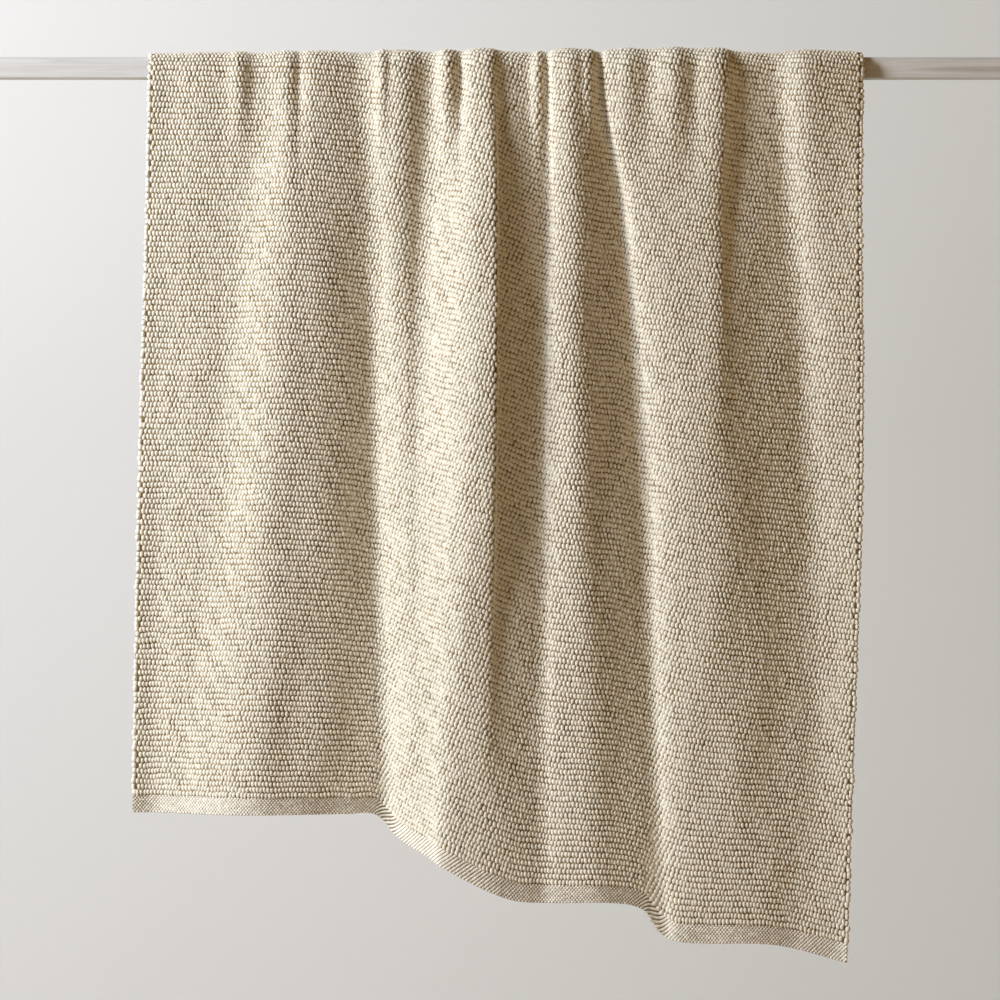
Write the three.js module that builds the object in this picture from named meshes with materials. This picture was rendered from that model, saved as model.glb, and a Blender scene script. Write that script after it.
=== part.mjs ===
// A chunky woven throw hung over a plain flat-sided wooden rod.
// Millimetres, +Z up, +X along the rod to the viewer's right, -Y towards the viewer.
// The origin is the middle of the rod's left end face.
import * as THREE from 'three';

// Rod: flat sides, and a crowned top on which the cloth lies
const ROD_LENGTH = 1540;
const ROD_RADIUS = 16; // of the crown round the rod's axis, and half of the rod's height
const ROD_CROWN = Math.PI / 4; // the crown's turn to each side of the top
const ROD_CHAMFER = 2;

// Cloth as it was cut, and how it lies on the rod
const CLOTH_LENGTH = 1780;
const CLOTH_THICKNESS = 5;
const ROD_CLEARANCE = 0.3;
const BEND_RADIUS = ROD_RADIUS + ROD_CLEARANCE + CLOTH_THICKNESS / 2;
const QUARTER_BEND = (Math.PI / 2) * BEND_RADIUS;
const TOP_SETTLE = 0.32; // share of a gather's height that is left where its weight rests on the rod

// Levels at which the folds are laid out: the drop below the rod's axis, negative behind the rod.
const LEVELS = { back: -500, rod: 0, upper: 200, middle: 560, low: 1080 };

// Fold lines from the left selvedge to the right one. At the five levels, x is the distance from the
// rod's left end, and out is how far the cloth stands off the plane in which it would hang flat.
// round is the length of the bend on each side of the line, at the rod and at the low level.
const FOLDS = [
  { line: 'left selvedge', x: [268, 259, 255, 245, 236], out: [8, 2, 2, 5, 10], round: [0, 0] },
  { line: 'left dip', x: [300, 294, 284, 276, 266], out: [2, 0, 3, 4, 6], round: [20, 30] },
  { line: 'left swell', x: [345, 334, 332, 320, 300], out: [24, 6, 6, 12, 17], round: [30, 30] },
  { line: 'left valley', x: [400, 424, 398, 364, 322], out: [3, 0, 7, 13, 28], round: [20, 30] },
  { line: 'first ridge', x: [450, 464, 462, 443, 404], out: [48, 15, 31, 43, 60], round: [16, 36] },
  { line: 'first shoulder', x: [505, 512, 516, 526, 502], out: [42, 13, 25, 30, 44], round: [20, 34] },
  { line: 'first valley', x: [560, 568, 582, 588, 608], out: [3, 0, 5, 2, 18], round: [14, 14] },
  { line: 'second rise', x: [622, 629, 622, 630, 644], out: [40, 19, 22, 29, 48], round: [16, 30] },
  { line: 'second dip', x: [668, 668, 662, 656, 668], out: [8, 2, 4, 31, 63], round: [16, 30] },
  { line: 'second ridge', x: [722, 736, 728, 718, 690], out: [60, 23, 46, 78, 81], round: [20, 50] },
  { line: 'second edge', x: [756, 756, 767, 766, 742], out: [56, 23, 50, 81, 81], round: [8, 40] },
  { line: 'second tuck', x: [770, 769, 761, 760, 770], out: [30, 11, 34, 63, 77], round: [8, 30] },
  { line: 'second valley', x: [812, 840, 842, 832, 832], out: [2, 0, 10, 40, 62], round: [12, 14] },
  { line: 'third edge', x: [850, 849, 853, 848, 856], out: [36, 18, 23, 51, 69], round: [10, 24] },
  { line: 'third ridge', x: [882, 876, 880, 882, 904], out: [44, 25, 27, 57, 71], round: [14, 18] },
  { line: 'third valley', x: [930, 918, 949, 975, 999], out: [2, 0, -9, 13, 46], round: [16, 14] },
  { line: 'fourth edge', x: [954, 926, 959, 1001, 1016], out: [30, 17, 9, 32, 56], round: [12, 30] },
  { line: 'fourth ridge', x: [1004, 978, 996, 1038, 1042], out: [46, 22, 13, 39, 59], round: [30, 40] },
  { line: 'fourth shoulder', x: [1070, 1094, 1090, 1080, 1098], out: [42, 25, 14, 39, 60], round: [12, 50] },
  { line: 'fourth tuck', x: [1104, 1112, 1098, 1115, 1150], out: [20, 8, 2, 27, 53], round: [12, 50] },
  { line: 'fourth floor', x: [1134, 1142, 1146, 1158, 1184], out: [10, 4, -8, 13, 46], round: [14, 40] },
  { line: 'fourth valley', x: [1166, 1178, 1192, 1220, 1220], out: [2, 0, -19, -4, 41], round: [14, 24] },
  { line: 'fifth ridge', x: [1216, 1206, 1222, 1260, 1256], out: [34, 19, -5, 4, 43], round: [16, 24] },
  { line: 'right selvedge', x: [1288, 1298, 1297, 1298, 1277], out: [8, 6, -4, 8, 46], round: [0, 0] },
];

// Short gathers that stand up, or sink in, at the rod and die out over their reach below it.
const GATHERS = [
  { x: 390, half: 14, lift: 7, reach: 120 },
  { x: 478, half: 11, lift: -8, reach: 120 },
  { x: 598, half: 8, lift: 7, reach: 100 },
  { x: 691, half: 11, lift: 9, reach: 110 },
  { x: 714, half: 9, lift: -8, reach: 110 },
  { x: 826, half: 9, lift: 9, reach: 110 },
  { x: 900, half: 9, lift: 8, reach: 90 },
  { x: 953, half: 14, lift: 4, reach: 110 },
  { x: 986, half: 14, lift: -4, reach: 110 },
  { x: 1022, half: 15, lift: 5, reach: 120 },
  { x: 1054, half: 14, lift: -4, reach: 120 },
];

// The throw hangs askew: how far its front hem drops below the rod's axis, by the share of its width.
const FRONT_HEM = [
  { across: 0, drop: 1086 },
  { across: 0.1, drop: 1086 },
  { across: 0.3, drop: 1086 },
  { across: 0.34, drop: 1088 },
  { across: 0.37, drop: 1118 },
  { across: 0.43, drop: 1147 },
  { across: 0.51, drop: 1191 },
  { across: 0.56, drop: 1208 },
  { across: 0.68, drop: 1210 },
  { across: 0.725, drop: 1222 },
  { across: 0.75, drop: 1256 },
  { across: 0.78, drop: 1267 },
  { across: 0.9, drop: 1271 },
  { across: 1, drop: 1297 },
];

// Facets of the cloth
const BEND_STEPS = 2;
const FRONT_STEPS = 13;
const ROD_STEPS = 8;
const BACK_STEPS = 6;
const TOP_CROWDING = 1.4; // rows stand closer together near the rod, where the gathers change fastest
const MOST_CUT = 0.42; // the most of a slope that the bend at one of its ends may take
const HEM_PASSES = 8;

// Smooth curve through the values at the given places, straight on beyond the first and the last.
function curveThrough(places, values, at) {
  const last = places.length - 1;
  const chord = (i) => (values[i + 1] - values[i]) / (places[i + 1] - places[i]);
  const slope = (i) => {
    if (i === 0) return chord(0);
    if (i === last) return chord(last - 1);
    return (values[i + 1] - values[i - 1]) / (places[i + 1] - places[i - 1]);
  };
  if (at <= places[0]) return values[0] + slope(0) * (at - places[0]);
  if (at >= places[last]) return values[last] + slope(last) * (at - places[last]);
  const i = places.findLastIndex((place) => place <= at);
  const span = places[i + 1] - places[i];
  const t = (at - places[i]) / span;
  const rise = values[i + 1] - values[i];
  const startBend = slope(i) * span - rise;
  const endBend = rise - slope(i + 1) * span;
  return values[i] + t * rise + t * (1 - t) * ((1 - t) * startBend + t * endBend);
}

const levels = Object.values(LEVELS);

// The fold lines at one level, as corners of the cloth's section: x along the rod, y outwards.
function foldCorners(drop) {
  const down = THREE.MathUtils.clamp(drop / LEVELS.low, 0, 1);
  return FOLDS.map(({ x, out, round }) => ({
    at: new THREE.Vector2(curveThrough(levels, x, drop), curveThrough(levels, out, drop)),
    round: THREE.MathUtils.lerp(round[0], round[1], down),
  }));
}

// How far the short gathers lift the cloth at a place along the rod.
function gatherLift(x, drop) {
  let lift = 0;
  for (const gather of GATHERS) {
    const across = (x - gather.x) / gather.half;
    const down = drop / gather.reach;
    lift += gather.lift * Math.exp(-across * across - down * down);
  }
  return lift;
}

// The cloth's section at one level: each fold line is a rounded bend with a straight slope between.
function clothSection(drop) {
  const corners = foldCorners(drop);
  const points = [corners[0].at];
  for (let k = 1; k < corners.length - 1; k += 1) {
    const { at, round } = corners[k];
    const [before, after] = [corners[k - 1].at, corners[k + 1].at];
    const start = at.clone().lerp(before, Math.min(MOST_CUT, round / at.distanceTo(before)));
    const end = at.clone().lerp(after, Math.min(MOST_CUT, round / at.distanceTo(after)));
    const bend = new THREE.QuadraticBezierCurve(start, at, end);
    points.push(points.at(-1).clone().lerp(start, 0.5), ...bend.getPoints(BEND_STEPS));
  }
  points.push(corners.at(-1).at);
  return points.map(({ x, y }) => {
    const lifted = y + gatherLift(x, drop);
    return new THREE.Vector2(x, drop === LEVELS.rod ? Math.max(0, lifted) : lifted);
  });
}

// Share of the cloth's width at which each point of a section lies.
function sharesAcross(section) {
  const lengths = [0];
  for (let i = 1; i < section.length; i += 1) {
    lengths.push(lengths[i - 1] + section[i].distanceTo(section[i - 1]));
  }
  return lengths.map((length) => length / lengths.at(-1));
}

function frontDrop(across) {
  const places = FRONT_HEM.map((row) => row.across);
  const drops = FRONT_HEM.map((row) => row.drop);
  return curveThrough(places, drops, across);
}

// What the front and the bends over the rod leave of the length hangs behind.
function backDrop(across) {
  return CLOTH_LENGTH - 2 * QUARTER_BEND - frontDrop(across);
}

// Drop of a hem at one column: the share across depends on the level, so it is closed in on.
function hemDrop(column, dropAt, side) {
  let drop = dropAt(0.5);
  for (let pass = 0; pass < HEM_PASSES; pass += 1) {
    drop = dropAt(sharesAcross(clothSection(side * drop))[column]);
  }
  return drop;
}

// One column of the cloth's middle surface, from the back hem over the rod to the front hem.
function clothColumn(column) {
  const points = [];
  const backHem = hemDrop(column, backDrop, -1);
  const frontHem = hemDrop(column, frontDrop, 1);
  for (let step = BACK_STEPS; step > 0; step -= 1) {
    const drop = backHem * (step / BACK_STEPS) ** TOP_CROWDING;
    const { x, y: out } = clothSection(-drop)[column];
    points.push(new THREE.Vector3(x, BEND_RADIUS + out, -drop));
  }
  const { x: rodX, y: rodOut } = clothSection(LEVELS.rod)[column];
  for (let step = ROD_STEPS; step >= 0; step -= 1) {
    const angle = (Math.PI * step) / ROD_STEPS;
    const radius = BEND_RADIUS + rodOut * (1 - (1 - TOP_SETTLE) * Math.sin(angle));
    points.push(new THREE.Vector3(rodX, -radius * Math.cos(angle), radius * Math.sin(angle)));
  }
  for (let step = 1; step <= FRONT_STEPS; step += 1) {
    const drop = frontHem * (step / FRONT_STEPS) ** TOP_CROWDING;
    const { x, y: out } = clothSection(drop)[column];
    points.push(new THREE.Vector3(x, -BEND_RADIUS - out, -drop));
  }
  return points;
}

// Outward direction of the middle surface at a grid point, from its neighbours.
function outwards(grid, i, j) {
  const column = grid[i];
  const along = column[Math.min(j + 1, column.length - 1)].clone().sub(column[Math.max(j - 1, 0)]);
  const across = grid[Math.min(i + 1, grid.length - 1)][j].clone().sub(grid[Math.max(i - 1, 0)][j]);
  return along.cross(across).normalize();
}

// The sheet: an outer and an inner face half a thickness off the middle surface, closed by a rim.
function throwGeometry() {
  const columnCount = clothSection(LEVELS.rod).length;
  const grid = Array.from({ length: columnCount }, (_, column) => clothColumn(column));
  const rowCount = grid[0].length;
  const positions = [];
  for (const side of [1, -1]) {
    grid.forEach((column, i) => column.forEach((point, j) => {
      const off = outwards(grid, i, j).multiplyScalar((side * CLOTH_THICKNESS) / 2);
      positions.push(...off.add(point).toArray());
    }));
  }
  const outer = (i, j) => i * rowCount + j;
  const inner = (i, j) => outer(i, j) + columnCount * rowCount;
  const faces = [];
  for (let i = 0; i < columnCount - 1; i += 1) {
    for (let j = 0; j < rowCount - 1; j += 1) {
      const square = [[i, j], [i, j + 1], [i + 1, j + 1], [i + 1, j]];
      const [a, b, c, d] = square.map(([p, q]) => outer(p, q));
      faces.push(a, b, c, a, c, d);
      const [e, f, g, h] = square.map(([p, q]) => inner(p, q));
      faces.push(e, g, f, e, h, g);
    }
  }
  const rim = [];
  for (let i = 0; i < columnCount - 1; i += 1) rim.push([i, 0]);
  for (let j = 0; j < rowCount - 1; j += 1) rim.push([columnCount - 1, j]);
  for (let i = columnCount - 1; i > 0; i -= 1) rim.push([i, rowCount - 1]);
  for (let j = rowCount - 1; j > 0; j -= 1) rim.push([0, j]);
  rim.forEach(([i, j], k) => {
    const [p, q] = rim[(k + 1) % rim.length];
    faces.push(outer(i, j), outer(p, q), inner(p, q), outer(i, j), inner(p, q), inner(i, j));
  });
  const geometry = new THREE.BufferGeometry();
  geometry.setAttribute('position', new THREE.Float32BufferAttribute(positions, 3));
  geometry.setIndex(faces);
  geometry.computeVertexNormals();
  return geometry;
}

// The rod's section is drawn across it, pushed out along Z with broken end edges, and laid along X.
function rodGeometry() {
  const halfDepth = ROD_RADIUS * Math.sin(ROD_CROWN);
  const section = new THREE.Shape();
  section.moveTo(-halfDepth, ROD_CHAMFER - ROD_RADIUS);
  section.lineTo(ROD_CHAMFER - halfDepth, -ROD_RADIUS);
  section.lineTo(halfDepth - ROD_CHAMFER, -ROD_RADIUS);
  section.lineTo(halfDepth, ROD_CHAMFER - ROD_RADIUS);
  section.absarc(0, 0, ROD_RADIUS, Math.PI / 2 - ROD_CROWN, Math.PI / 2 + ROD_CROWN);
  const geometry = new THREE.ExtrudeGeometry(section, {
    depth: ROD_LENGTH - 2 * ROD_CHAMFER,
    curveSegments: 4,
    bevelThickness: ROD_CHAMFER,
    bevelSize: ROD_CHAMFER,
    bevelOffset: -ROD_CHAMFER,
    bevelSegments: 1,
  });
  return geometry.rotateX(Math.PI / 2).rotateZ(Math.PI / 2).translate(ROD_CHAMFER, 0, 0);
}

const creamYarn = new THREE.MeshStandardMaterial({ color: 0xe2d8c2, roughness: 0.95, metalness: 0 });
const palePine = new THREE.MeshStandardMaterial({ color: 0xd4cec3, roughness: 0.7, metalness: 0 });

const wovenThrow = new THREE.Mesh(throwGeometry(), creamYarn);
wovenThrow.name = 'throw';

const rod = new THREE.Mesh(rodGeometry(), palePine);
rod.name = 'rod';

const throwOnRod = new THREE.Group();
throwOnRod.add(wovenThrow, rod);

export default throwOnRod;
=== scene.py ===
# %% [markdown]
# # A chunky woven throw over a wooden rod
# One long piece of cloth hangs over a plain rod, its front lower than its back and lower at the right
# than at the left. Thick soft yarn makes rows of staggered pebbles, a finer flat weave closes the two
# hems, and yarn loops turn back at the two long sides.
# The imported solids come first: they fix where everything is, and each piece below is fitted to them.

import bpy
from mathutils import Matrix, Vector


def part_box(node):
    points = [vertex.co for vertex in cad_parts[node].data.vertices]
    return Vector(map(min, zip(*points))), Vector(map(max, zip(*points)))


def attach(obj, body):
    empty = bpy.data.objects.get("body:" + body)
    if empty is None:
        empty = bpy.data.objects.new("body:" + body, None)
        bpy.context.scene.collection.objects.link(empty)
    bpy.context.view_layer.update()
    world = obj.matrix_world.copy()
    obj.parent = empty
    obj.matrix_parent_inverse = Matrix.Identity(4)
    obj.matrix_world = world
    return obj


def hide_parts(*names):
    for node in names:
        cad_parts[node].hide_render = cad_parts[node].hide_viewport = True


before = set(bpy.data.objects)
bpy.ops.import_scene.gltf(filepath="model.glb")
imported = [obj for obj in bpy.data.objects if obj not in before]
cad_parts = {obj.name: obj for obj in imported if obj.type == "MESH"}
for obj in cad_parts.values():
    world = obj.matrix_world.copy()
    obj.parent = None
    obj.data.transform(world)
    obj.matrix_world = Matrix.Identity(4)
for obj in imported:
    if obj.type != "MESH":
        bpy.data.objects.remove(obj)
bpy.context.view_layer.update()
rod_low, rod_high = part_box("rod")
print("solids:", sorted(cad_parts))

# %% [markdown]
# ## The cloth as it was cut, and the rod it lies on
# A weaver thinks of the cloth flat: a width, a length, and a pitch for the yarn. Blender works in
# metres, so sizes that are easier to read in millimetres are multiplied by MM. The rod's sizes are read
# from its solid. Its top is crowned on a circle round its axis, so half of its height is also the radius
# of that circle, and the cloth's middle layer bends half a thickness further out. TOP_SETTLE is the share
# of a pleat's height that is left on top of the rod, where the cloth's weight presses it down.

# %% Sizes of the cloth and the rod
import math

import bpy
import numpy as np

MM = 0.001
CLOTH_WIDTH = 1120 * MM
CLOTH_LENGTH = 1780 * MM
CLOTH_THICKNESS = 5 * MM
ROD_CLEARANCE = 0.3 * MM
ROD_LENGTH = rod_high[0] - rod_low[0]
ROD_RADIUS = (rod_high[2] - rod_low[2]) / 2
BEND_RADIUS = ROD_RADIUS + ROD_CLEARANCE + CLOTH_THICKNESS / 2
QUARTER_BEND = math.pi / 2 * BEND_RADIUS
TOP_SETTLE = 0.32
print(f"rod {ROD_LENGTH:.3f} m long and {2 * ROD_RADIUS:.3f} m high")
print(f"middle of the cloth bends at {BEND_RADIUS:.4f} m from the rod's axis")

# %% [markdown]
# ## Where the folds run
# A cloth simulation would invent folds of its own, and this throw has to hang in the folds that it
# really has. So the folds are laid out one by one, as a stylist would. Each row below is one crease, in
# millimetres: where it is along the rod at five levels from the back to the low front, how far it stands
# out there, and how softly it bends at the rod and low down. The same rows shape the solid.

# %% Crease lines from the left side to the right
LEVELS = MM * np.array([-500, 0, 200, 560, 1080])
FOLDS = [
    ("left selvedge", (268, 259, 255, 245, 236), (8, 2, 2, 5, 10), (0, 0)),
    ("left dip", (300, 294, 284, 276, 266), (2, 0, 3, 4, 6), (20, 30)),
    ("left swell", (345, 334, 332, 320, 300), (24, 6, 6, 12, 17), (30, 30)),
    ("left valley", (400, 424, 398, 364, 322), (3, 0, 7, 13, 28), (20, 30)),
    ("first ridge", (450, 464, 462, 443, 404), (48, 15, 31, 43, 60), (16, 36)),
    ("first shoulder", (505, 512, 516, 526, 502), (42, 13, 25, 30, 44), (20, 34)),
    ("first valley", (560, 568, 582, 588, 608), (3, 0, 5, 2, 18), (14, 14)),
    ("second rise", (622, 629, 622, 630, 644), (40, 19, 22, 29, 48), (16, 30)),
    ("second dip", (668, 668, 662, 656, 668), (8, 2, 4, 31, 63), (16, 30)),
    ("second ridge", (722, 736, 728, 718, 690), (60, 23, 46, 78, 81), (20, 50)),
    ("second edge", (756, 756, 767, 766, 742), (56, 23, 50, 81, 81), (8, 40)),
    ("second tuck", (770, 769, 761, 760, 770), (30, 11, 34, 63, 77), (8, 30)),
    ("second valley", (812, 840, 842, 832, 832), (2, 0, 10, 40, 62), (12, 14)),
    ("third edge", (850, 849, 853, 848, 856), (36, 18, 23, 51, 69), (10, 24)),
    ("third ridge", (882, 876, 880, 882, 904), (44, 25, 27, 57, 71), (14, 18)),
    ("third valley", (930, 918, 949, 975, 999), (2, 0, -9, 13, 46), (16, 14)),
    ("fourth edge", (954, 926, 959, 1001, 1016), (30, 17, 9, 32, 56), (12, 30)),
    ("fourth ridge", (1004, 978, 996, 1038, 1042), (46, 22, 13, 39, 59), (30, 40)),
    ("fourth shoulder", (1070, 1094, 1090, 1080, 1098), (42, 25, 14, 39, 60), (12, 50)),
    ("fourth tuck", (1104, 1112, 1098, 1115, 1150), (20, 8, 2, 27, 53), (12, 50)),
    ("fourth floor", (1134, 1142, 1146, 1158, 1184), (10, 4, -8, 13, 46), (14, 40)),
    ("fourth valley", (1166, 1178, 1192, 1220, 1220), (2, 0, -19, -4, 41), (14, 24)),
    ("fifth ridge", (1216, 1206, 1222, 1260, 1256), (34, 19, -5, 4, 43), (16, 24)),
    ("right selvedge", (1288, 1298, 1297, 1298, 1277), (8, 6, -4, 8, 46), (0, 0)),
]
print(len(FOLDS), "crease lines")

# %% [markdown]
# ## From crease lines to a surface
# At every level the creases give a zigzag of corners. A smooth curve through the five levels moves each
# corner down the cloth, and each corner is rounded with a quadratic Bezier curve. Walking along that
# section and marking equal steps gives a place for every thread, because a thread keeps its own share
# of the cloth's width all the way from the back hem to the front one.

# %% A smooth curve through values at given places
def curve_through(places, values, at):
    """Values between the places, straight on beyond the first and the last one."""
    chords = np.diff(values) / np.diff(places)
    inner = (values[..., 2:] - values[..., :-2]) / (places[2:] - places[:-2])
    slopes = np.concatenate([chords[..., :1], inner, chords[..., -1:]], axis=-1)
    i = np.clip(np.searchsorted(places, at, side="right") - 1, 0, len(places) - 2)
    span = places[i + 1] - places[i]
    free = (at - places[i]) / span
    t = np.clip(free, 0, 1)
    rise = values[..., i + 1] - values[..., i]
    start_bend = slopes[..., i] * span - rise
    end_bend = rise - slopes[..., i + 1] * span
    end_slope = np.where(free < 0, slopes[..., i], slopes[..., i + 1])
    curve = values[..., i] + t * rise + t * (1 - t) * ((1 - t) * start_bend + t * end_bend)
    return curve + (free - t) * span * end_slope


rise_and_fall = curve_through(np.array([0, 1, 2]), np.array([0, 1, 0]), np.array([0.5, 1, 1.5]))
print("a curve through 0, 1 and 0:", rise_and_fall)

# %% Corners of the folds at every level
LEVEL_STEP = 5 * MM
BACK_END = -0.70
FRONT_END = 1.36
levels = np.arange(round(BACK_END / LEVEL_STEP), round(FRONT_END / LEVEL_STEP) + 1) * LEVEL_STEP
fold_x = curve_through(LEVELS, MM * np.array([row[1] for row in FOLDS], float), levels).T
fold_out = curve_through(LEVELS, MM * np.array([row[2] for row in FOLDS], float), levels).T
corners = np.stack([fold_x, fold_out], axis=-1)
down = np.clip(levels / LEVELS[-1], 0, 1)[:, None]
rounds = MM * np.array([row[3] for row in FOLDS], float)
fold_round = (1 - down) * rounds[:, 0] + down * rounds[:, 1]
print(len(levels), "levels of", corners.shape[1], "corners")

# %% Round the corners
MOST_CUT = 0.42
BEND_POINTS = 9


def rounded(corners, fold_round):
    """Section points: the end corners as they are, a Bezier bend at every other one."""
    at = corners[:, 1:-1]
    t = np.linspace(0, 1, BEND_POINTS)[:, None]
    ends = []
    for other in (corners[:, :-2], corners[:, 2:]):
        reach = np.linalg.norm(other - at, axis=-1)
        cut = np.minimum(MOST_CUT, fold_round[:, 1:-1] / reach)[..., None]
        ends.append(at + cut * (other - at))
    start, end = (e[:, :, None] for e in ends)
    bends = (1 - t) ** 2 * start + 2 * t * (1 - t) * at[:, :, None] + t ** 2 * end
    return np.concatenate([corners[:, :1], bends.reshape(len(corners), -1, 2), corners[:, -1:]], axis=1)


section_points = rounded(corners, fold_round)
print(section_points.shape[1], "points in a section")

# %% Equal shares of the width along every section
SHARES = 1271
share_marks = np.linspace(0, 1, SHARES)


def in_equal_shares(points):
    steps = np.linalg.norm(np.diff(points, axis=0), axis=-1)
    walked = np.concatenate([[0], np.cumsum(steps)])
    places = [np.interp(share_marks * walked[-1], walked, points[:, k]) for k in (0, 1)]
    return np.stack(places, axis=-1)


sections = np.stack([in_equal_shares(points) for points in section_points])
print("sections:", sections.shape)

# %% [markdown]
# ## Short gathers at the rod
# Where the throw was pushed together on the rod, small pleats stand up and die out a hand's width below.
# Each one is a bell curve added to the section: its middle along the rod, its half width, its height
# (negative where it sinks in) and its reach down the cloth. The steps along each section are then evened
# out again, because a pleat uses up cloth.

# %% Gathers, added to the sections
GATHERS = [
    (390, 14, 7, 120), (478, 11, -8, 120), (598, 8, 7, 100), (691, 11, 9, 110), (714, 9, -8, 110),
    (826, 9, 9, 110), (900, 9, 8, 90), (953, 14, 4, 110), (986, 14, -4, 110), (1022, 15, 5, 120),
    (1054, 14, -4, 120),
]
for middle, half, lift, reach in GATHERS:
    across = (sections[..., 0] - middle * MM) / (half * MM)
    below = levels[:, None] / (reach * MM)
    sections[..., 1] += lift * MM * np.exp(-across ** 2 - below ** 2)
print(len(GATHERS), "gathers")

# %% [markdown]
# ## Slack in the cloth
# Woven cloth never hangs in perfectly straight folds. Nine long waves with a fixed seed, each less than
# a fifth of a millimetre high, make the folds waver. They fade out at the rod, which holds the cloth flat.

# %% Slack
SLACK_WAVES = 9
SLACK_HEIGHT = 0.18 * MM
SLACK_ACROSS = (6, 15)
SLACK_DOWN = (-4, 4)
FULL_SLACK_BELOW = 0.15
slack_seed = np.random.default_rng(5)
far_from_rod = np.clip(np.abs(levels) / FULL_SLACK_BELOW, 0, 1)[:, None]
for _ in range(SLACK_WAVES):
    waves_across = slack_seed.uniform(*SLACK_ACROSS)
    waves_down = slack_seed.uniform(*SLACK_DOWN)
    turns = waves_across * share_marks + waves_down * levels[:, None] + slack_seed.random()
    sections[..., 1] += SLACK_HEIGHT * far_from_rod * np.sin(2 * math.pi * turns)
at_rod = np.abs(levels) < LEVEL_STEP / 2
sections[at_rod, :, 1] = np.maximum(sections[at_rod, :, 1], 0)
sections = np.stack([in_equal_shares(points) for points in sections])
widths = np.linalg.norm(np.diff(sections, axis=1), axis=-1).sum(axis=1)
print(f"cloth across the folds: {widths.min():.3f} m to {widths.max():.3f} m of {CLOTH_WIDTH} m")

# %% [markdown]
# ## How low the hem hangs
# The throw hangs askew. The front hem is level for a third of its width and then drops in easy steps to
# the right. Rows of yarn run along the hem, so every row on the cloth drops with it.

# %% Front hem
FRONT_HEM = np.array([
    (0, 1086), (0.1, 1086), (0.3, 1086), (0.34, 1088), (0.37, 1118), (0.43, 1147), (0.51, 1191),
    (0.56, 1208), (0.68, 1210), (0.725, 1222), (0.75, 1256), (0.78, 1267), (0.9, 1271), (1, 1297),
])


def front_drop(share):
    return MM * curve_through(FRONT_HEM[:, 0], FRONT_HEM[:, 1], share)


print(f"front hem {front_drop(0.0):.3f} m to {front_drop(1.0):.3f} m below the rod")

# %% [markdown]
# ## Any place on the cloth
# With the sections and the hem, each thread's path is known: up the front, half a turn over the rod and
# down the back. Yarn doesn't stretch, so places on a path are found by their length along it. The rows
# are straighter at the rod than at the hem, because the steps of the hem are lost over HEM_EASE metres
# above it. ROW_AT_ROD says which row lies on top of the rod, and TOP_TURN how far below that row the bend
# begins. A grid of places then answers for any point of the flat cloth, u from the left side and v up
# from the front hem.

# %% Paths of the threads
ROW_AT_ROD = np.array([
    (0, 1124), (0.28, 1138), (0.42, 1180), (0.56, 1236), (0.68, 1262), (0.82, 1294), (1, 1324),
])
HEM_EASE = 0.22
FRONT_STEPS = 330
BEND_STEPS = 48
BACK_STEPS = 160
MARK_STEP = 2.5 * MM
u_marks = np.linspace(0, CLOTH_WIDTH, round(CLOTH_WIDTH / MARK_STEP) + 1)
v_marks = np.linspace(0, CLOTH_LENGTH, round(CLOTH_LENGTH / MARK_STEP) + 1)


def section_at(level, share):
    """Place along the rod and stand-off, read between the stored sections."""
    row = np.clip((level - levels[0]) / LEVEL_STEP, 0, len(levels) - 1.001)
    col = np.clip(share * (SHARES - 1), 0, SHARES - 1.001)
    i, j = row.astype(int), col.astype(int)
    a, b = (row - i)[..., None], (col - j)[..., None]
    upper = (1 - b) * sections[i, j] + b * sections[i, j + 1]
    lower = (1 - b) * sections[i + 1, j] + b * sections[i + 1, j + 1]
    return (1 - a) * upper + a * lower


path_points = FRONT_STEPS + BEND_STEPS + BACK_STEPS + 1
share = np.broadcast_to(u_marks[:, None] / CLOTH_WIDTH, (len(u_marks), path_points))
front_hem = front_drop(share[:, :1])
back_hem = CLOTH_LENGTH - 2 * QUARTER_BEND - front_hem
front_level = front_hem * np.linspace(1, 0, FRONT_STEPS + 1)[:-1]
back_level = back_hem * np.linspace(0, 1, BACK_STEPS + 1)[1:]
level = np.concatenate([front_level, np.zeros((len(u_marks), BEND_STEPS + 1)), -back_level], axis=1)
half_turn = np.linspace(0, math.pi, BEND_STEPS + 1)
turned = np.concatenate([np.zeros(FRONT_STEPS), half_turn, np.full(BACK_STEPS, math.pi)])
x, out = np.moveaxis(section_at(level, share), -1, 0)
radius = BEND_RADIUS + out * (1 - (1 - TOP_SETTLE) * np.sin(turned))
paths = np.stack([x, -radius * np.cos(turned), radius * np.sin(turned) - np.abs(level)], axis=-1)
walked = np.concatenate([np.zeros((len(u_marks), 1)),
                         np.cumsum(np.linalg.norm(np.diff(paths, axis=1), axis=-1), axis=1)], axis=1)
print(f"thread paths {walked[:, -1].min():.3f} m to {walked[:, -1].max():.3f} m long")

# %% Grid of places
TOP_TURN = 42 * MM
row_at_rod = MM * curve_through(ROW_AT_ROD[:, 0], ROW_AT_ROD[:, 1], u_marks / CLOTH_WIDTH)
row_in_front = row_at_rod - TOP_TURN
place_grid = np.empty((len(u_marks), len(v_marks), 3))
for k, path in enumerate(paths):
    front = walked[k, FRONT_STEPS]
    top = walked[k, FRONT_STEPS + BEND_STEPS // 2]
    eased = (1 - np.exp(-v_marks / HEM_EASE)) / (1 - np.exp(-row_in_front[k] / HEM_EASE))
    turn_rows = [row_in_front[k], row_at_rod[k], CLOTH_LENGTH]
    over = np.interp(v_marks, turn_rows, [front, top, walked[k, -1]])
    marks = np.where(v_marks < row_in_front[k], v_marks + (front - row_in_front[k]) * eased, over)
    place_grid[k] = np.stack([np.interp(marks, walked[k], path[:, axis]) for axis in range(3)], axis=-1)
print("place grid:", place_grid.shape)


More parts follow.
